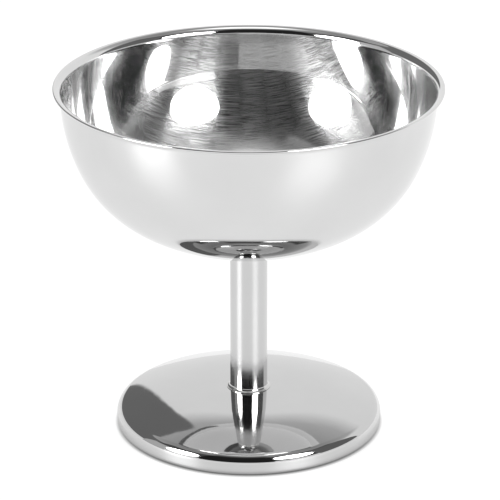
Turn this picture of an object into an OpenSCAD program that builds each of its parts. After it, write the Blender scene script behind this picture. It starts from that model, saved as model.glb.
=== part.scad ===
// Sundae cup in polished stainless steel: a drawn bowl on a tube stem and a pressed, hollow foot.
// Millimetres, +Z up, origin on the table under the middle of the foot.

/* [Cup] */
// Height from the table to the top of the lip
cup_h = 89; // [87:0.5:91]
// Height of the bowl's underside above the table, at the stem
bowl_base_z = 47.4; // [47.2:0.1:48.5]

/* [Bowl] */
// Diameter of the mouth, over the lip
mouth_d = 95; // [95:0.2:98]
// Outside diameter of the wall where the side's curve is widest
wall_d = 91.6; // [91:0.2:91.6]
// Radius of the shallow curve across the bottom
bottom_r = 58; // [56:0.5:60]
// Radius of the tighter curve between the bottom and the side
corner_r = 31.3; // [30:0.1:32.5]
// Radius of the side's curve, which ends nearly upright
side_r = 44.2; // [43:0.1:48]
// How far the middle of the side's curve lies below the top of the lip
side_drop = 1.3; // [0.8:0.1:1.8]
// Thickness of the bowl's sheet
bowl_t = 0.6; // [0.4:0.1:0.7]
// Radius on the outside of the bend that turns the lip out
lip_bend_r = 1.3; // [0.9:0.1:1.3]

/* [Stem] */
// Outside diameter of the tube
stem_d = 9.3; // [8.5:0.1:9.7]
// Wall of the tube
stem_t = 0.8; // [0.5:0.1:1.1]
// Height where the tube starts to narrow to its neck
shoulder_z = 45; // [43:0.1:45.2]
// Outside diameter of the neck
neck_d = 7; // [6.6:0.1:7.6]
// Slope of the narrowing, from upright
neck_angle = 45; // [40:1:50]
// Radius of the bends at both ends of the narrowing
neck_bend_r = 0.5; // [0.3:0.1:0.8]
// How far the tube's lower end is rolled out under the foot
roll_w = 1.7; // [1.2:0.1:2.5]

/* [Foot] */
// Diameter of the foot
foot_d = 66.2; // [62:0.2:70]
// Height of the middle of the foot
crown_z = 9.4; // [8.8:0.1:10]
// Radius of the nearly flat middle of the dome
crown_r = 190; // [160:5:240]
// Distance from the axis where the middle passes into the outer curve
crown_reach = 14; // [11:0.5:17]
// Radius of the outer curve of the dome
dome_r = 72; // [66:1:80]
// Radius of the shoulder where the dome turns down
shoulder_r = 2.8; // [2:0.1:3.2]
// Radius of the lower edge, where the sheet turns under
hem_r = 1.2; // [0.9:0.1:1.9]
// Width of the flat ring that stands on the table
rest_w = 1.6; // [1:0.1:4]
// Thickness of the foot's sheet
foot_t = 0.7; // [0.5:0.1:0.8]

/* [Welds] */
// Radius of the hollow fillet between the stem and the foot
foot_weld_r = 0.8; // [0.5:0.1:1.2]
// Radius of the hollow fillet between the neck and the bowl
bowl_weld_r = 0.8; // [0.5:0.1:1]
// Height of the fillets' thin outer edge
weld_edge = 0.15; // [0.1:0.05:0.3]
// How far the plug in the neck reaches below the neck's bore
plug_tail = 0.8; // [0.4:0.1:2]

/* [Hidden] */

// How far an outline's straight steps may lie from its true curves, and the steps round the axis
curve_gap = 0.004;
turn_steps = 180;

// The points of an arc after its first one, which the outline has reached already
function bend(c, r, from, to) =
    let (step = 2 * acos(1 - curve_gap / r))
    let (n = max(2, ceil(abs(to - from) / step)))
    [for (i = [1 : n]) let (a = from + (to - from) * i / n) c + r * [cos(a), sin(a)]];

// Bowl: the lip's bend, and the three arcs that lead down to the bottom, each touching the next
mouth_r = mouth_d / 2;
wall_r = wall_d / 2;
bottom_c = [0, bowl_base_z + bottom_r];
side_c = [wall_r - side_r, cup_h - side_drop];

// The corner arc's centre lies at these two distances from the side's and the bottom's centres
side_gap = side_r - corner_r;
bottom_gap = bottom_r - corner_r;
between = side_c - bottom_c;
reach = (bottom_gap ^ 2 - side_gap ^ 2 - between * between) / (2 * side_gap);
corner_top_a = atan2(between.y, between.x) + 90 - asin(reach / norm(between));
corner_c = side_c + side_gap * [cos(corner_top_a), sin(corner_top_a)];
corner_low_a = atan2(corner_c.y - bottom_c.y, corner_c.x - bottom_c.x);
lip_gap = side_r + lip_bend_r;
lip_a = asin((bowl_t + lip_bend_r - side_drop) / lip_gap);
lip_c = side_c + lip_gap * [cos(lip_a), -sin(lip_a)];
lip_edge_c = [mouth_r - bowl_t / 2, cup_h - bowl_t / 2];

// Height of the bowl's underside at a distance from the axis
function bowl_under(r) = bottom_c.y - sqrt(bottom_r ^ 2 - r ^ 2);

// Foot: crown, dome, shoulder and lower edge, each touching the next
foot_r = foot_d / 2;
crown_c = [0, crown_z - crown_r];
crown_a = 90 - asin(crown_reach / crown_r);
dome_c = crown_c + (crown_r - dome_r) * [cos(crown_a), sin(crown_a)];
shoulder_x = foot_r - shoulder_r;
shoulder_a = acos((shoulder_x - dome_c.x) / (dome_r - shoulder_r));
shoulder_c = dome_c + (dome_r - shoulder_r) * [cos(shoulder_a), sin(shoulder_a)];
hem_c = [foot_r - hem_r, hem_r];
rest_x = hem_c.x - rest_w;

// Height of the foot's top and of its underside near the stem
function foot_top(r) = crown_c.y + sqrt(crown_r ^ 2 - r ^ 2);
function foot_under(r) = crown_c.y + sqrt((crown_r - foot_t) ^ 2 - r ^ 2);

// Stem: the bends at the shoulder and the neck take up this much of the straight stretches
stem_r = stem_d / 2;
bore_r = stem_r - stem_t;
neck_r = neck_d / 2;
plug_r = neck_r - stem_t;
neck_z = shoulder_z + (stem_r - neck_r) / tan(neck_angle);
bend_run = neck_bend_r * tan(neck_angle / 2);
wall_run = stem_t * tan(neck_angle / 2);
shoulder_bend_c = [stem_r - neck_bend_r, shoulder_z - bend_run];
neck_bend_c = [neck_r + neck_bend_r, neck_z + bend_run];
roll_z = foot_under(stem_r + roll_w);

// Chamfer that leads the plug into the neck
plug_lead = 0.3;

module turned(outline) {
    rotate_extrude($fn = turn_steps) polygon(outline);
}

// Drawn sheet shell with its edge turned out flat into a lip
module bowl() {
    color("gainsboro") turned(concat(
        [[0, bowl_base_z]],
        bend(bottom_c, bottom_r, -90, corner_low_a),
        bend(corner_c, corner_r, corner_low_a, corner_top_a),
        bend(side_c, side_r, corner_top_a, -lip_a),
        bend(lip_c, lip_bend_r, 180 - lip_a, 90),
        [[lip_edge_c.x, cup_h - bowl_t]],
        bend(lip_edge_c, bowl_t / 2, -90, 90),
        [[lip_c.x, cup_h]],
        bend(lip_c, lip_bend_r + bowl_t, 90, 180 - lip_a),
        bend(side_c, side_r - bowl_t, -lip_a, corner_top_a),
        bend(corner_c, corner_r - bowl_t, corner_top_a, corner_low_a),
        bend(bottom_c, bottom_r - bowl_t, corner_low_a, -90)
    ));
}

// Hollow fillet of weld metal between the neck and the bowl's underside
module bowl_weld() {
    outer_r = neck_r + bowl_weld_r;
    edge_z = bowl_under(outer_r) - weld_edge;
    color("silver") turned(concat(
        [[neck_r, bowl_under(neck_r)], [neck_r, edge_z - bowl_weld_r]],
        bend([outer_r, edge_z - bowl_weld_r], bowl_weld_r, 180, 90),
        [[outer_r, bowl_under(outer_r)]]
    ));
}

// Solid plug in the neck, which the bowl is welded to
module neck_plug() {
    low_z = neck_z - plug_tail;
    color("silver") turned([
        [0, low_z],
        [plug_r - plug_lead, low_z],
        [plug_r, low_z + plug_lead],
        [plug_r, bowl_under(plug_r)],
        [0, bowl_base_z]
    ]);
}

// Tube with its top drawn down to a neck and its lower end rolled out under the foot
module stem_tube() {
    roll_edge_c = [stem_r + roll_w - stem_t / 2, roll_z - stem_t / 2];
    color("gainsboro") turned(concat(
        [[bore_r, roll_z]],
        bend([stem_r, roll_z], stem_t, 180, 270),
        [[roll_edge_c.x, roll_z - stem_t]],
        bend(roll_edge_c, stem_t / 2, -90, 90),
        [[stem_r, roll_z], [stem_r, shoulder_bend_c.y]],
        bend(shoulder_bend_c, neck_bend_r, 0, neck_angle),
        [neck_bend_c - neck_bend_r * [cos(neck_angle), sin(neck_angle)]],
        bend(neck_bend_c, neck_bend_r, 180 + neck_angle, 180),
        [[neck_r, bowl_base_z], [plug_r, bowl_base_z]],
        [[plug_r, neck_z - wall_run], [bore_r, shoulder_z - wall_run]]
    ));
}

// Hollow fillet of weld metal round the stem, on top of the foot
module foot_weld() {
    outer_r = stem_r + foot_weld_r;
    edge_z = foot_top(outer_r) + weld_edge;
    color("silver") turned(concat(
        [[stem_r, foot_top(stem_r)], [outer_r, foot_top(outer_r)], [outer_r, edge_z]],
        bend([outer_r, edge_z + foot_weld_r], foot_weld_r, 270, 180)
    ));
}

// Pressed sheet dome, pierced for the tube, with its edge turned down and under
module foot() {
    under_r = crown_r - foot_t;
    color("gainsboro") turned(concat(
        [[stem_r, foot_top(stem_r)]],
        bend(crown_c, crown_r, 90 - asin(stem_r / crown_r), crown_a),
        bend(dome_c, dome_r, crown_a, shoulder_a),
        bend(shoulder_c, shoulder_r, shoulder_a, 0),
        [[foot_r, hem_c.y]],
        bend(hem_c, hem_r, 0, -90),
        [[rest_x, 0], [rest_x, foot_t], [hem_c.x, foot_t]],
        bend(hem_c, hem_r - foot_t, -90, 0),
        [shoulder_c + [shoulder_r - foot_t, 0]],
        bend(shoulder_c, shoulder_r - foot_t, 0, shoulder_a),
        bend(dome_c, dome_r - foot_t, shoulder_a, crown_a),
        bend(crown_c, under_r, crown_a, 90 - asin(stem_r / under_r))
    ));
}

bowl();
bowl_weld();
neck_plug();
stem_tube();
foot_weld();
foot();
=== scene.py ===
# %% [markdown]
# # A sundae cup in polished steel
# The real cup is a drawn bowl, a tube stem and a pressed foot, joined by two welds.
# The measured model comes in as a fixed frame. It has the right sizes, but its curves are made of many
# narrow bands, and a mirror shows every band. So each piece is turned again here with smooth curves,
# exactly where the measured piece stands, and then gets the finish that the real steel has. Only the plug
# in the stem's neck, which is hidden, stays as it comes.

# %% Load the frame
from math import acos, asin, atan2, ceil, cos, degrees, pi, radians, sin, sqrt, tan

import bmesh
import bpy
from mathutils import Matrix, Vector


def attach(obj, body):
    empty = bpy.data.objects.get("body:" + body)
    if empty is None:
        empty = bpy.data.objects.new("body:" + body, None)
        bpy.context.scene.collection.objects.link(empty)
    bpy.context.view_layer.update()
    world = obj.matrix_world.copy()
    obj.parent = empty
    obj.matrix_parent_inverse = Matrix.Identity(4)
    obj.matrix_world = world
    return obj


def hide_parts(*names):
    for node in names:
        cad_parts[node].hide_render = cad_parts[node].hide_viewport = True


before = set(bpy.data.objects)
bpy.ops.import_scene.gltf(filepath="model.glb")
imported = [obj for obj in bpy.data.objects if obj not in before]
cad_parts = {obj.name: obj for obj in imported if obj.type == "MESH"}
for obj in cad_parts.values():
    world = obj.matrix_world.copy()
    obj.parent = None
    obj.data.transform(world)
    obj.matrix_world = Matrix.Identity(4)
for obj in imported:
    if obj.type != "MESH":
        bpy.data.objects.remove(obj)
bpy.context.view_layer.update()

MM = 0.001
print("frame nodes:", sorted(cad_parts))

# %% [markdown]
# ## Camera
# The camera stands in front of the cup, well above the rim, and looks down on it by about 22 degrees.
# A long lens from three quarters of a metre keeps the rim and the foot nearly in scale with each other.
# Its place was worked out from the ellipses of the rim and the foot and from the outline of the bowl.

# %% Place the camera
CAMERA_AT, LOOK_DOWN = (0.3 * MM, -714.7 * MM, 333.4 * MM), 21.9145
LENS, SENSOR = 224.6, 36
bpy.ops.object.camera_add(location=CAMERA_AT, rotation=(radians(90 - LOOK_DOWN), 0, 0))
camera = bpy.context.object
camera.name = "camera"
camera.data.sensor_width = SENSOR
camera.data.lens = LENS
bpy.context.scene.camera = camera
print("camera at", [round(v / MM, 1) for v in camera.location], "mm, lens", camera.data.lens)

# %% [markdown]
# ## A lathe for outlines
# Everything on this cup was drawn, pressed or turned about one upright axis. By hand in Blender that is a
# profile and a spin: one point is led along the outline, straight stretches by extruding it and round ones
# by spinning it about the bend's own centre, and then the whole outline is spun once round the axis.
# A curve with a screw modifier would do as well, but the spin keeps every bend a true arc, and that matters
# here, because the eye reads a mirror's shape from the lines that it reflects.

# %% Tools for drawing an outline
EDGE_MARGIN, LARGEST_MARGIN = 0.12 * MM, 0.25


def begin_outline(name, x, z):
    """Starts a piece as one point of its outline, in millimetres from the axis and above the table."""
    bpy.ops.object.select_all(action="DESELECT")
    bpy.ops.mesh.primitive_plane_add(size=MM)
    piece = bpy.context.object
    piece.name = piece.data.name = name
    bpy.ops.object.mode_set(mode="EDIT")
    bpy.ops.mesh.merge(type="CENTER")
    bpy.ops.transform.translate(value=(x * MM, 0, z * MM))
    return piece


def outline_end():
    """The point that the outline has reached, in metres."""
    mesh = bmesh.from_edit_mesh(bpy.context.object.data)
    return next(v.co.copy() for v in mesh.verts if v.select)


def line_to(x, z):
    """A straight stretch. Points near the ends of a long one keep bends from tilting its shading."""
    start, end = outline_end(), Vector((x, 0, z)) * MM
    margin = EDGE_MARGIN / (end - start).length
    for share in ((margin, 1 - margin, 1) if margin < LARGEST_MARGIN else (1,)):
        step = start.lerp(end, share) - outline_end()
        bpy.ops.mesh.extrude_region_move(TRANSFORM_OT_translate={"value": step})


def bend(centre, turn, steps):
    """A round stretch about a centre, turning by so many degrees, anticlockwise when turn is positive."""
    place = (centre.x * MM, 0, centre.y * MM)
    bpy.ops.mesh.spin(steps=steps, angle=radians(turn), center=place, axis=(0, 1, 0))


print("straight stretches get points", EDGE_MARGIN / MM, "mm from their ends")

# %% [markdown]
# A closed outline is spun once round. Its end then lies on its start, and the points on the axis lie on
# each other, so they are merged, and after that the faces are turned to point outwards. Only edges sharper
# than 30 degrees stay sharp.

# %% Tools for turning an outline into a piece
TURN_STEPS, SHARP, MERGE_GAP = 192, radians(30), 0.0005 * MM


def spin_outline():
    """Spins the outline once round the axis, closes the seam and the poles and smooths the shading."""
    piece = bpy.context.object
    bpy.ops.mesh.select_all(action="SELECT")
    bpy.ops.mesh.spin(steps=TURN_STEPS, angle=2 * pi, center=(0, 0, 0), axis=(0, 0, 1))
    bpy.ops.mesh.select_all(action="SELECT")
    bpy.ops.mesh.remove_doubles(threshold=MERGE_GAP)
    bpy.ops.mesh.normals_make_consistent(inside=False)
    bpy.ops.object.mode_set(mode="OBJECT")
    bpy.ops.object.shade_smooth_by_angle(angle=SHARP)
    print(piece.name, "turned:", len(piece.data.polygons), "faces")


def stands_for(piece, node):
    """The piece takes the place of a node of the frame, on the cup's one body."""
    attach(piece, "root")
    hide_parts(node)


print("one turn is", TURN_STEPS, "steps")

# %% [markdown]
# ## Bowl
# The bowl is one round of sheet steel, pressed in steps into a die. Its section is three arcs that touch:
# a shallow one across the bottom, a tighter one at the corner and a wide one that ends nearly upright. The
# edge is then turned out in a small round bend into a lip, which stiffens the mouth.
# The arcs meet without a kink, so the corner's centre has to lie at set distances from the other two.

# %% Find the centres of the bowl's arcs
CUP_H, BOWL_BASE_Z, MOUTH_R, WALL_R, BOWL_T, LIP_BEND_R = 89, 47.4, 47.5, 45.8, 0.6, 1.3
BOTTOM_R, CORNER_R, SIDE_R, SIDE_DROP = 58, 31.3, 44.2, 1.3
bottom_c = Vector((0, BOWL_BASE_Z + BOTTOM_R))
side_c = Vector((WALL_R - SIDE_R, CUP_H - SIDE_DROP))
side_gap, bottom_gap = SIDE_R - CORNER_R, BOTTOM_R - CORNER_R
between = side_c - bottom_c
reach = (bottom_gap**2 - side_gap**2 - between.length_squared) / (2 * side_gap)
corner_top_a = atan2(between.y, between.x) + pi / 2 - asin(reach / between.length)
corner_c = side_c + side_gap * Vector((cos(corner_top_a), sin(corner_top_a)))
corner_low_a = atan2(corner_c.y - bottom_c.y, corner_c.x - bottom_c.x)
lip_a = asin((BOWL_T + LIP_BEND_R - SIDE_DROP) / (SIDE_R + LIP_BEND_R))
lip_c = side_c + (SIDE_R + LIP_BEND_R) * Vector((cos(lip_a), -sin(lip_a)))
bottom_turn = degrees(corner_low_a) + 90
side_turn = -degrees(atan2(sin(corner_top_a), cos(corner_top_a)) + lip_a)
lip_turn = 90 - degrees(lip_a)
corner_turn = lip_turn - bottom_turn - side_turn
print("bowl arcs turn by", [round(a, 2) for a in (bottom_turn, corner_turn, side_turn)], "degrees")

# %% [markdown]
# With the centres known, the outline is led up the outside, round the lip and down the inside. The inside
# uses the same centres the other way round, so the sheet has one thickness all over.

# %% Turn the bowl
lip_edge_c = Vector((MOUTH_R - BOWL_T / 2, CUP_H - BOWL_T / 2))
bowl = begin_outline("bowl_shell", 0, BOWL_BASE_Z)
arcs = [(bottom_c, bottom_turn), (corner_c, corner_turn), (side_c, side_turn)]
for centre, turn in arcs:
    bend(centre, turn, steps=ceil(turn))
bend(lip_c, -lip_turn, steps=20)
line_to(lip_edge_c.x, CUP_H - BOWL_T)
bend(lip_edge_c, 180, steps=14)
line_to(lip_c.x, CUP_H)
bend(lip_c, lip_turn, steps=30)
for centre, turn in reversed(arcs):
    bend(centre, -turn, steps=ceil(turn))
spin_outline()
stands_for(bowl, "bowl")

# %% [markdown]
# ## Foot
# The foot is pressed from thicker sheet: a nearly flat crown, a rounder dome outside it, a tight shoulder
# and a short upright wall, whose edge is turned under into a flat ring. It is hollow and open below.
# Its arcs touch each other as the bowl's do, so each centre lies on the line from the one before.

# %% Find the centres of the foot's arcs
FOOT_R, CROWN_Z, CROWN_R, CROWN_REACH, DOME_R, SHOULDER_R = 33.1, 9.4, 190, 14, 72, 2.8
HEM_R, REST_W, FOOT_T, STEM_R = 1.2, 1.6, 0.7, 4.65
crown_c = Vector((0, CROWN_Z - CROWN_R))
crown_a = acos(CROWN_REACH / CROWN_R)
dome_c = crown_c + (CROWN_R - DOME_R) * Vector((cos(crown_a), sin(crown_a)))
shoulder_a = acos((FOOT_R - SHOULDER_R - dome_c.x) / (DOME_R - SHOULDER_R))
shoulder_c = dome_c + (DOME_R - SHOULDER_R) * Vector((cos(shoulder_a), sin(shoulder_a)))
hem_c = Vector((FOOT_R - HEM_R, HEM_R))
UNDER_R = CROWN_R - FOOT_T


def foot_top(r):
    """Height of the foot's top near the stem."""
    return crown_c.y + sqrt(CROWN_R**2 - r**2)


def foot_under(r):
    """Height of the foot's underside near the stem."""
    return crown_c.y + sqrt(UNDER_R**2 - r**2)


print("foot is", round(foot_top(STEM_R), 2), "mm high at the stem")

# %% [markdown]
# The outline starts at the hole for the stem, runs along the top and round the edge, and comes back along
# the underside. The shoulder gets the most steps, because it mirrors the whole room in a few millimetres.

# %% Turn the foot
crown_turn = degrees(acos(STEM_R / CROWN_R) - crown_a)
crown_turn_under = degrees(acos(STEM_R / UNDER_R) - crown_a)
dome_turn = degrees(crown_a - shoulder_a)
shoulder_turn = degrees(shoulder_a)
foot = begin_outline("foot_dome", STEM_R, foot_top(STEM_R))
bend(crown_c, -crown_turn, steps=3)
bend(dome_c, -dome_turn, steps=15)
bend(shoulder_c, -shoulder_turn, steps=48)
line_to(FOOT_R, HEM_R)
bend(hem_c, -90, steps=16)
line_to(hem_c.x - REST_W, 0)
line_to(hem_c.x - REST_W, FOOT_T)
line_to(hem_c.x, FOOT_T)
bend(hem_c, 90, steps=8)
line_to(FOOT_R - FOOT_T, shoulder_c.y)
bend(shoulder_c, shoulder_turn, steps=24)
bend(dome_c, dome_turn, steps=15)
bend(crown_c, crown_turn_under, steps=3)
line_to(STEM_R, foot_top(STEM_R))
spin_outline()
stands_for(foot, "foot")

# %% [markdown]
# ## Stem
# The stem is a length of tube. Its top is drawn down at 45 degrees to a short neck, which the bowl's low
# front hides, and its lower end goes through the foot and is rolled out under it, so that the foot can't be
# pulled off. Each bend takes up a little of the straight stretches beside it.

# %% Find the bends of the stem
STEM_T, SHOULDER_Z, NECK_R, NECK_ANGLE, NECK_BEND_R, ROLL_W = 0.8, 45, 3.5, 45, 0.5, 1.7
bend_run = tan(radians(NECK_ANGLE / 2))
neck_z = SHOULDER_Z + (STEM_R - NECK_R) / tan(radians(NECK_ANGLE))
shoulder_bend_c = Vector((STEM_R - NECK_BEND_R, SHOULDER_Z - NECK_BEND_R * bend_run))
neck_bend_c = Vector((NECK_R + NECK_BEND_R, neck_z + NECK_BEND_R * bend_run))
neck_bend_low = neck_bend_c - NECK_BEND_R * Vector((cos(radians(NECK_ANGLE)), sin(radians(NECK_ANGLE))))
roll_z = foot_under(STEM_R + ROLL_W)
roll_edge_c = Vector((STEM_R + ROLL_W - STEM_T / 2, roll_z - STEM_T / 2))
bore_r, plug_r = STEM_R - STEM_T, NECK_R - STEM_T
print("stem: neck from", round(neck_z, 2), "mm up, rolled end at", round(roll_z, 2), "mm")

# %% [markdown]
# The outline starts at the lower end of the bore and goes once round the tube's wall: out under the foot,
# up the outside, in to the neck and down again inside.

# %% Turn the stem
stem = begin_outline("stem_tube_drawn", bore_r, roll_z)
bend(Vector((STEM_R, roll_z)), 90, steps=10)
line_to(roll_edge_c.x, roll_z - STEM_T)
bend(roll_edge_c, 180, steps=14)
line_to(STEM_R, roll_z)
line_to(STEM_R, shoulder_bend_c.y)
bend(shoulder_bend_c, NECK_ANGLE, steps=10)
line_to(neck_bend_low.x, neck_bend_low.y)
bend(neck_bend_c, -NECK_ANGLE, steps=10)
line_to(NECK_R, BOWL_BASE_Z)
line_to(plug_r, BOWL_BASE_Z)
line_to(plug_r, neck_z - STEM_T * bend_run)
line_to(bore_r, SHOULDER_Z - STEM_T * bend_run)
line_to(bore_r, roll_z)
spin_outline()
stands_for(stem, "stem_tube")

# %% [markdown]
# ## Welds
# A bead of weld metal runs round the stem on the foot, and another round the neck under the bowl. A weld's
# surface is hollow, like a drop that has wetted both walls, so its outline is a corner with a hollow bend.

# %% Turn the welds
FOOT_WELD_R, BOWL_WELD_R, WELD_EDGE = 0.8, 0.8, 0.15


def bowl_under(r):
    """Height of the bowl's underside near the stem."""
    return bottom_c.y - sqrt(BOTTOM_R**2 - r**2)


weld_out = STEM_R + FOOT_WELD_R
weld_top = foot_top(weld_out) + WELD_EDGE
foot_weld = begin_outline("foot_weld_bead", STEM_R, foot_top(STEM_R))
line_to(weld_out, foot_top(weld_out))
line_to(weld_out, weld_top)
bend(Vector((weld_out, weld_top + FOOT_WELD_R)), -90, steps=14)
line_to(STEM_R, foot_top(STEM_R))
spin_outline()
stands_for(foot_weld, "foot_weld")

neck_out = NECK_R + BOWL_WELD_R
neck_low = bowl_under(neck_out) - WELD_EDGE
bowl_weld = begin_outline("bowl_weld_bead", NECK_R, bowl_under(NECK_R))
line_to(NECK_R, neck_low - BOWL_WELD_R)
bend(Vector((neck_out, neck_low - BOWL_WELD_R)), -90, steps=14)
line_to(neck_out, bowl_under(neck_out))
line_to(NECK_R, bowl_under(NECK_R))
spin_outline()
stands_for(bowl_weld, "bowl_weld")

# %% [markdown]
# ## Steel
# All of the cup is stainless steel, a pale grey metal that gives back about two thirds of the light. A
# polished metal has no colour of its own: what the eye sees is its surroundings and the marks of its
# finishing. So each finish below is the same steel with other marks: how rough, how wavy and which way the
# lines run.
# First come a few tools: one that turns a written colour into light, one that adds a node, and one that
# starts a steel whose shade drifts a little from place to place, as handled steel does.

# %% Tools for colours and nodes
HAZE_SIZE = 14 * MM


def linear(hex_colour):
    """An sRGB colour written as six hex digits, as linear red, green and blue."""
    parts = [int(hex_colour[i : i + 2], 16) / 255 for i in (0, 2, 4)]
    return [c / 12.92 if c <= 0.04045 else ((c + 0.055) / 1.055) ** 2.4 for c in parts]


def node(tree, kind, sockets=None, **settings):
    """Adds a node with its settings. A socket is given a value, or another node's output to link to."""
    made = tree.nodes.new("ShaderNode" + kind)
    for name, value in settings.items():
        setattr(made, name, value)
    for name, value in (sockets or {}).items():
        if isinstance(value, bpy.types.NodeSocket):
            tree.links.new(value, made.inputs[name])
        else:
            made.inputs[name].default_value = value
    return made


def steel(name, dull, bright):
    """A metal whose shade drifts between two greys. The last thing that it gives is the drift's pattern."""
    material = bpy.data.materials.new(name)
    material.use_nodes = True
    tree = material.node_tree
    surface = tree.nodes["Principled BSDF"]
    surface.inputs["Metallic"].default_value = 1
    place = node(tree, "TexCoord").outputs["Object"]
    haze = node(tree, "TexNoise", {"Vector": place, "Scale": 1 / HAZE_SIZE, "Detail": 3}).outputs["Fac"]
    shades = {"Fac": haze, "Color1": (*linear(dull), 1), "Color2": (*linear(bright), 1)}
    tree.links.new(node(tree, "MixRGB", shades).outputs[0], surface.inputs["Base Color"])
    print(name, "from", dull, "to", bright)
    return material, tree, surface, place, haze


print("the middle grey 808080 gives back", round(linear("808080")[0], 3), "of the light")

# %% [markdown]
# ## Brushed inside
# The sheet was brushed in one direction while it was still flat, so its fine lines ran straight across it.
# Drawing the sheet into a bowl bent them with it: they still run across the bowl, and climb a little at the
# sides. A ring pattern would be easier to draw, but the light would then spread the wrong way.
# To draw straight lines, each point of the bowl is first put back to its place on the flat sheet, as if
# the bowl were part of a ball that is spread out flat from its lowest point.

# %% Put the bowl back to a flat sheet
BALL_R, BALL_Z, GRAIN_TURN = 44 * MM, 89 * MM, 3


def flat_sheet(tree, place):
    """Each point's place on the sheet before it was drawn."""
    height = node(tree, "SeparateXYZ", {0: place}).outputs["Z"]
    depth = node(tree, "Math", {0: BALL_Z + BALL_R, 1: height}, operation="SUBTRACT").outputs[0]
    spread = node(tree, "Math", {0: 2 * BALL_R, 1: depth}, operation="DIVIDE").outputs[0]
    flat = node(tree, "VectorMath", {0: place, 1: (1, 1, 0)}, operation="MULTIPLY").outputs[0]
    return node(tree, "VectorMath", {0: flat, "Scale": spread}, operation="SCALE").outputs[0]


def brush_lines(tree, sheet, wide, long, turn=GRAIN_TURN):
    """Streaks of one width and length, in millimetres, along one direction of the sheet."""
    turned = node(tree, "Mapping", {"Vector": sheet, "Rotation": (0, 0, radians(turn)),
                                    "Scale": (long * MM, wide * MM, 1)}, vector_type="TEXTURE").outputs[0]
    noise = {"Vector": turned, "Scale": 1, "Detail": 2}
    return node(tree, "TexNoise", noise, noise_dimensions="2D").outputs["Fac"]


print("brush lines run", GRAIN_TURN, "degrees off straight across")

# %% [markdown]
# Between the lines the steel is smooth and mirrors sharply. On the lines it spreads the light, but only
# across them, and that is why a lamp shows as a bright spot with a pale column above and below it.
# So the lines get a rougher surface here, and a direction for its spread in the next cell. They are
# fainter at the sides, and spoons have left a few thin scratches that cross them.

# %% Brushed steel
# Stainless steel, brushed as sheet and then drawn: dark and clear between lamps, hazy above and below them.
# Real brush lines are about 0.02 mm wide, too fine to show, so they are drawn 0.04 mm wide.
BOWL_DULL, BOWL_BRIGHT = "D4D4D4", "DCDCDC"
SMOOTH, LINE_ROUGH = 0.015, 0.43
FULL_TO, FAINT_FROM, FAINT = 18 * MM, 36 * MM, 0.2
# Width and length in millimetres, and the part of the pattern's range over which a mark fades in
LINE_WIDTH, LINE_LENGTH, LINE_LOW, LINE_HIGH = 0.04, 9, 0.49, 0.61
SCRATCH_WIDTH, SCRATCH_LENGTH, SCRATCH_LOW, SCRATCH_HIGH, SCRATCH_TURN = 0.15, 12, 0.74, 0.78, -38
brushed, tree, surface, place, _ = steel("brushed_stainless_steel", BOWL_DULL, BOWL_BRIGHT)
sheet = flat_sheet(tree, place)
aside = node(tree, "SeparateXYZ", {0: place}).outputs["X"]
aside = node(tree, "Math", {0: aside}, operation="ABSOLUTE").outputs[0]
depth = node(tree, "MapRange", {"Value": aside, "From Min": FULL_TO, "From Max": FAINT_FROM,
                                "To Min": 1, "To Max": FAINT}).outputs[0]
lines = brush_lines(tree, sheet, LINE_WIDTH, LINE_LENGTH)
cut = node(tree, "MapRange", {"Value": lines, "From Min": LINE_LOW, "From Max": LINE_HIGH}).outputs[0]
groove = node(tree, "Math", {0: cut, 1: depth}, operation="MULTIPLY").outputs[0]
scores = brush_lines(tree, sheet, SCRATCH_WIDTH, SCRATCH_LENGTH, SCRATCH_TURN)
scratch = node(tree, "MapRange", {"Value": scores, "From Min": SCRATCH_LOW,
                                  "From Max": SCRATCH_HIGH}).outputs[0]
marks = node(tree, "Math", {0: groove, 1: scratch}, operation="MAXIMUM").outputs[0]
rough = node(tree, "MapRange", {"Value": marks, "To Min": SMOOTH, "To Max": LINE_ROUGH}).outputs[0]
tree.links.new(rough, surface.inputs["Roughness"])
print("brush lines:", len(tree.nodes), "nodes")

# %% [markdown]
# The tangent tells the shader which way the lines run. On the flat sheet that is one direction all over,
# and on the bowl it turns with the sheet: it is tipped by as much as the sheet's normal is tipped from
# upright. A quarter turn of the spread then leads the light across the lines.

# %% Lead the spread of light across the lines
grain = (cos(radians(GRAIN_TURN)), sin(radians(GRAIN_TURN)), 0)
normal = node(tree, "NewGeometry").outputs["Normal"]
lean = node(tree, "VectorMath", {0: normal, 1: (0, 0, 1)}, operation="ADD").outputs[0]
side = node(tree, "VectorMath", {0: normal, 1: grain}, operation="DOT_PRODUCT").outputs["Value"]
rise = node(tree, "SeparateXYZ", {0: lean}).outputs["Z"]
share = node(tree, "Math", {0: side, 1: rise}, operation="DIVIDE").outputs[0]
shift = node(tree, "VectorMath", {0: lean, "Scale": share}, operation="SCALE").outputs[0]
along = node(tree, "VectorMath", {0: grain, 1: shift}, operation="SUBTRACT").outputs[0]
tree.links.new(along, surface.inputs["Tangent"])
surface.inputs["Anisotropic"].default_value = 1
surface.inputs["Anisotropic Rotation"].default_value = 0.25
print("brushed steel:", len(tree.nodes), "nodes")

# %% [markdown]
# ## Buffed outside
# The outside of the bowl and the top of the foot were buffed while they spun, which leaves rings too fine
# to feel. Pressed sheet is never quite even either: its mirror swims a little, and hands leave it a trace
# hazier in places. The rings and the haze go into the roughness, and the swimming into a shallow bump.

# %% Tools for rings, roughness and ripples


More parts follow.
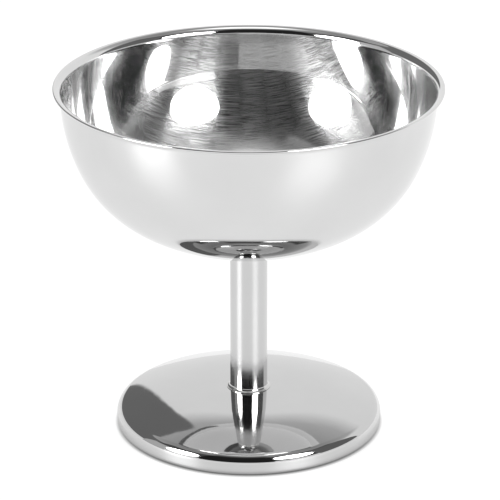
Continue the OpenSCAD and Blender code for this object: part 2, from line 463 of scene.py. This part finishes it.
def turned_rings(tree, place, width):
    """Fine rings round the upright axis, as on a piece that spins under a tool or a wheel."""
    flat = node(tree, "VectorMath", {0: place, 1: (1, 1, 0)}, operation="MULTIPLY").outputs[0]
    reach = node(tree, "VectorMath", {0: flat}, operation="LENGTH").outputs["Value"]
    height = node(tree, "SeparateXYZ", {0: place}).outputs["Z"]
    spot = node(tree, "CombineXYZ", {"X": reach, "Y": height}).outputs[0]
    noise = {"Vector": spot, "Scale": 1 / width, "Detail": 2}
    return node(tree, "TexNoise", noise, noise_dimensions="2D").outputs["Fac"]


def roughen(tree, surface, first, second, low, high):
    """Roughness between two ends, from two patterns multiplied, which lie mostly from 0.1 to 0.4."""
    both = node(tree, "Math", {0: first, 1: second}, operation="MULTIPLY").outputs[0]
    rough = node(tree, "MapRange", {"Value": both, "From Min": 0.1, "From Max": 0.4, "To Min": low,
                                    "To Max": high}).outputs[0]
    tree.links.new(rough, surface.inputs["Roughness"])


def ripple(tree, surface, pattern, depth):
    """A bump of one depth, in millimetres."""
    bump = node(tree, "Bump", {"Height": pattern, "Distance": depth * MM, "Strength": 1})
    tree.links.new(bump.outputs[0], surface.inputs["Normal"])


print("tools for rings, roughness and ripples made")

# %% [markdown]
# The bowl and the foot are two sheets with the same finish. The foot's sheet is a little greyer, and its
# mirror swims a little more.

# %% Buffed steel for the bowl and the foot
# Stainless sheet, buffed to a mirror: sharp reflections that waver slightly. Real buffing rings are about
# 0.01 mm wide, too fine to show, so they are drawn 0.2 mm wide.
RING_WIDTH = 0.2 * MM
buffed, tree, surface, place, haze = steel("buffed_stainless_steel", BOWL_DULL, BOWL_BRIGHT)
roughen(tree, surface, turned_rings(tree, place, RING_WIDTH), haze, low=0.02, high=0.06)
ripple(tree, surface, haze, depth=0.03)

pressed, tree, surface, place, haze = steel("buffed_pressed_steel", "C6C6C6", "CECECE")
roughen(tree, surface, turned_rings(tree, place, RING_WIDTH), haze, low=0.02, high=0.07)
ripple(tree, surface, haze, depth=0.04)
print("buffed steel:", len(tree.nodes), "nodes")

# %% [markdown]
# ## Stem tube
# A tube is buffed while it spins, so its lines run round it and the light spreads up and down along it.
# That draws each lamp out into an upright stripe. Here the tangent is simply the way round the axis.

# %% Buffed tube
# Stainless tube, spun and buffed: upright stripes of light, still sharp enough to mirror the foot's edge.
tube, tree, surface, place, haze = steel("buffed_steel_tube", "C8C8C8", "D0D0D0")
roughen(tree, surface, turned_rings(tree, place, RING_WIDTH), haze, low=0.06, high=0.13)
around = node(tree, "VectorMath", {0: (0, 0, 1), 1: place}, operation="CROSS_PRODUCT").outputs[0]
tree.links.new(around, surface.inputs["Tangent"])
surface.inputs["Anisotropic"].default_value = 1
surface.inputs["Anisotropic Rotation"].default_value = 0.25
print("tube steel:", len(tree.nodes), "nodes")

# %% [markdown]
# ## Plain and joined steel
# Nobody buffs what nobody sees: the hollow of the foot and the bore of the tube keep the dull grey of
# rolled sheet, with faint lines along the rolling direction. Weld metal froze in small ripples and was only
# wiped over with the wheel. The plug was turned on a lathe and shows its tool's rings.
# All three use the tools from before, with other sizes and depths.

# %% Mill, weld and turned steel
# Rolled stainless steel: even, dull and grey, with lines about 0.3 mm wide.
mill, tree, surface, place, haze = steel("rolled_mill_steel", "B4B4B2", "C0C0BE")
rolled = brush_lines(tree, place, wide=0.3, long=15, turn=0)
roughen(tree, surface, rolled, haze, low=0.24, high=0.4)

# Weld metal, buffed over: bright but uneven, in ripples about 0.7 mm long.
RIPPLE_SIZE = 0.7 * MM
weld, tree, surface, place, haze = steel("buffed_weld_steel", "CACACA", "D6D6D4")
beads = node(tree, "TexNoise", {"Vector": place, "Scale": 1 / RIPPLE_SIZE, "Detail": 1}).outputs["Fac"]
roughen(tree, surface, beads, haze, low=0.06, high=0.16)
ripple(tree, surface, beads, depth=0.03)

# Turned steel: grey, with tool rings about 0.15 mm apart.
TOOL_PITCH = 0.15 * MM
turned, tree, surface, place, haze = steel("turned_plug_steel", "B8B8B6", "C6C6C4")
rings = turned_rings(tree, place, TOOL_PITCH)
roughen(tree, surface, rings, haze, low=0.2, high=0.35)
ripple(tree, surface, rings, depth=0.01)
print("mill, weld and turned steel made")

# %% [markdown]
# ## Finishes on the pieces
# Each piece gets its steel as a whole, and then the faces of its hidden or brushed side are picked by
# where they lie and how they face, and get the other finish.

# %% Give each piece its steel


def finish_side(piece, material, wanted):
    """Gives a second finish to the faces that a test picks by how they face and how high they lie."""
    piece.data.materials.append(material)
    bpy.ops.object.select_all(action="DESELECT")
    piece.select_set(True)
    bpy.context.view_layer.objects.active = piece
    bpy.ops.object.mode_set(mode="EDIT")
    bpy.ops.mesh.select_mode(type="FACE")
    bpy.ops.mesh.select_all(action="DESELECT")
    mesh = bmesh.from_edit_mesh(piece.data)
    for face in mesh.faces:
        middle = face.calc_center_median()
        outward = face.normal.xy.dot(middle.xy) / middle.xy.length
        face.select = wanted(outward, face.normal.z, middle.z / MM)
    bmesh.update_edit_mesh(piece.data)
    piece.active_material_index = 1
    bpy.ops.object.material_slot_assign()
    bpy.ops.object.mode_set(mode="OBJECT")
    print(piece.name, sum(p.material_index for p in piece.data.polygons), "faces of", material.name)


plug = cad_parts["neck_plug"]
steels = [(bowl, buffed), (foot, pressed), (stem, tube), (plug, turned)]
for piece, material in steels + [(foot_weld, weld), (bowl_weld, weld)]:
    piece.data.materials.clear()
    piece.data.materials.append(material)
# The bowl's inside up to the lip's bend, the foot's hollow without the ring below, and the tube's bore
finish_side(bowl, brushed, lambda outward, up, height: outward < up and height < lip_c.y)
finish_side(foot, mill, lambda outward, up, height: outward < 0.01 and height > 0.01)
finish_side(stem, mill, lambda outward, up, height: outward < -0.1)

# %% [markdown]
# ## Floor
# The cup stands on a smooth white table, bright and a little glossy, and the bowl's outside mirrors it. A
# lamp strong enough to make the table pure white would burn out the steel, so the table has its own white
# for the camera and for mirrors, and a share of lit paint, which keeps the soft shadow.
# That white is darkened by a painted shade in the nook under the foot's edge, from ambient occlusion. For
# mirrors the painted shade reaches further out, which draws the dark line along the foot's lower edge.

# %% Lay the floor
# The last two numbers are how far the painted shade under the foot's edge reaches, for the camera and for
# mirrors.
TABLE_SIZE, TABLE_GLOW, NOOK_SHADE_REACH, MIRROR_SHADE_REACH = 4, 0.88, 1 * MM, 4 * MM
bpy.ops.object.select_all(action="DESELECT")
bpy.ops.mesh.primitive_plane_add(size=TABLE_SIZE)
floor = bpy.context.object
floor.name = "floor"
# Satin paint on a board: plain white, with a faint and soft image of the foot.
paint = bpy.data.materials.new("white_table_paint")
paint.use_nodes = True
tree = paint.node_tree
surface = tree.nodes["Principled BSDF"]
surface.inputs["Base Color"].default_value = (*linear("606060"), 1)
surface.inputs["Roughness"].default_value = 0.4
surface.inputs["Specular IOR Level"].default_value = 0.33
surface.inputs["Emission Color"].default_value = (1, 1, 1, 1)
path = node(tree, "LightPath").outputs
# Painted shade: ambient occlusion darkens the table's own glow near the foot, within 1 mm for the camera
# and within 4 mm for mirrors.
painted_nook_shade = node(tree, "AmbientOcclusion", {"Distance": NOOK_SHADE_REACH}).outputs["AO"]
painted_mirror_shade = node(tree, "AmbientOcclusion", {"Distance": MIRROR_SHADE_REACH}).outputs["AO"]
seen = node(tree, "Math", {0: path["Is Camera Ray"], 1: painted_nook_shade}, operation="MULTIPLY").outputs[0]
mirrored = path["Is Glossy Ray"]
own = node(tree, "Math", {0: mirrored, 1: painted_mirror_shade, 2: seen}, operation="MULTIPLY_ADD").outputs[0]
glow = node(tree, "Math", {0: own, 1: TABLE_GLOW}, operation="MULTIPLY").outputs[0]
tree.links.new(glow, surface.inputs["Emission Strength"])
floor.data.materials.append(paint)
print("floor:", [round(v, 2) for v in floor.dimensions], "m")

# %% [markdown]
# ## Lamps
# Polished steel is lit by what it mirrors, so the lamps' shapes matter as much as their strength. Two round
# soft lamps stand at the front, one on each side, and show as the two bright spots inside the bowl.
# A lamp's power follows from how bright its face has to look.

# %% Hang the lamps
LAMP_AIM = Vector((0, 0, 40 * MM))
LAMP_LEVEL = 10
# Name, degrees to the right of the front, degrees up, millimetres away, width, height and turn
LAMPS = [("right_lamp", 41, 31, 900, 520, 450, 0), ("left_lamp", -60, 24, 900, 470, 480, 20)]
for name, azimuth, elevation, away, wide, tall, roll in LAMPS:
    a, e = radians(azimuth), radians(elevation)
    aim = Vector((sin(a) * cos(e), -cos(a) * cos(e), sin(e)))
    bpy.ops.object.light_add(type="AREA", location=LAMP_AIM + aim * away * MM)
    lamp = bpy.context.object
    lamp.name = name
    lamp.rotation_euler = aim.to_track_quat("Z", "Y").to_euler()
    lamp.rotation_euler.rotate_axis("Z", radians(roll))
    lamp.data.shape = "ELLIPSE"
    lamp.data.size, lamp.data.size_y = wide * MM, tall * MM
    lamp.data.energy = LAMP_LEVEL * pi * (pi / 4 * wide * tall * MM**2)
    lamp.visible_camera = False
    print(name, round(lamp.data.energy, 2), "W")

# %% [markdown]
# ## Tent
# The cup stands in a white tent that is open at the front, with a dark room behind the camera. It has a
# gap at the right and one at the back left too, and a greyer strip at the left. These gaps are the dark
# shapes that the steel shows. The tent could be built of sheets, but as a world it costs nothing and stays
# far away. Its walls are white at the bottom, grey higher up and bright again at the top.

# %% Hang the tent's walls
# Degrees above the table, and the wall's brightness there
WALL = ((36, 1.0), (43, 0.56), (50, 0.45), (64, 0.3), (72, 0.5), (80, 1.8))
world = bpy.data.worlds.new("white_tent")
bpy.context.scene.world = world
world.use_nodes = True
tree = world.node_tree
way = node(tree, "SeparateXYZ", {0: node(tree, "TexCoord").outputs["Generated"]}).outputs
front = node(tree, "Math", {0: way["Y"], 1: -1}, operation="MULTIPLY").outputs[0]
azimuth = node(tree, "Math", {0: way["X"], 1: front}, operation="ARCTAN2").outputs[0]
elevation = node(tree, "Math", {0: way["Z"]}, operation="ARCSINE").outputs[0]
steep = node(tree, "MapRange", {"Value": elevation, "From Max": pi / 2}).outputs[0]
wall = node(tree, "ValToRGB", {"Fac": steep})
stops = wall.color_ramp.elements
for angle, level in WALL:
    stop = stops.new(angle / 90)
    stop.color = (level, level, level, 1)
# The two stops that a new ramp comes with go
stops.remove(stops[0])
stops.remove(stops[-1])
light = wall.outputs["Color"]
print("tent wall:", len(stops), "levels")

# %% [markdown]
# Each gap is a rounded box of directions. How far a direction lies past the box's sides says whether it is
# inside or outside, and a later gap covers an earlier one. The camera itself sees a white tent.

# %% Open the gaps
# Degrees to the right of the front, half the width, degrees up, half the height, the brightness inside,
# and how far the edge fades to either side
GAPS = ((-87.5, 12.5, 12, 24, 0.6, 0.5), (2.5, 102.5, 45, 9, 0.1, 2), (-10, 32, 46, 16, 0.06, 7),
        (-6.5, 68.5, 29, 17, 0.08, 0.5), (-10, 32, 28, 23, 0.02, 0.5), (83.5, 21.5, 29, 21, 0.16, 0.5),
        (-133.5, 34, 27.5, 18.5, 0.19, 0.5))
GAP_ROUND = radians(4)
look = node(tree, "CombineXYZ", {"X": azimuth, "Y": elevation}).outputs[0]
for az, half_az, el, half_el, level, fade in GAPS:
    middle, half = (radians(az), radians(el), 0), (radians(half_az), radians(half_el), 0)
    off = node(tree, "VectorMath", {0: look, 1: middle}, operation="SUBTRACT").outputs[0]
    off = node(tree, "VectorMath", {0: off}, operation="ABSOLUTE").outputs[0]
    off = node(tree, "VectorMath", {0: off, 1: half}, operation="SUBTRACT").outputs[0]
    sides = node(tree, "SeparateXYZ", {0: off}).outputs
    past = {0: sides["X"], 1: sides["Y"], 2: GAP_ROUND}
    edge = node(tree, "Math", past, operation="SMOOTH_MAX").outputs[0]
    span = {"Value": edge, "From Min": radians(-fade), "From Max": radians(fade)}
    out = node(tree, "MapRange", span, interpolation_type="SMOOTHSTEP").outputs[0]
    light = node(tree, "MapRange", {"Value": out, "To Min": level, "To Max": light}).outputs[0]
seen = node(tree, "LightPath").outputs["Is Camera Ray"]
white = node(tree, "Math", {0: light, 1: seen}, operation="MAXIMUM").outputs[0]
tree.links.new(white, tree.nodes["Background"].inputs["Color"])
print("tent:", len(GAPS), "gaps")

# %% [markdown]
# ## Picture
# Colours stay as they are written with the plain view transform. Light goes to and fro between the bowl,
# the stem and the foot, so mirrors may look into mirrors a few times more than usual.

# %% Set the picture
bpy.context.scene.view_settings.view_transform = "Standard"
bpy.context.scene.cycles.glossy_bounces = 8
print("view:", bpy.context.scene.view_settings.view_transform)
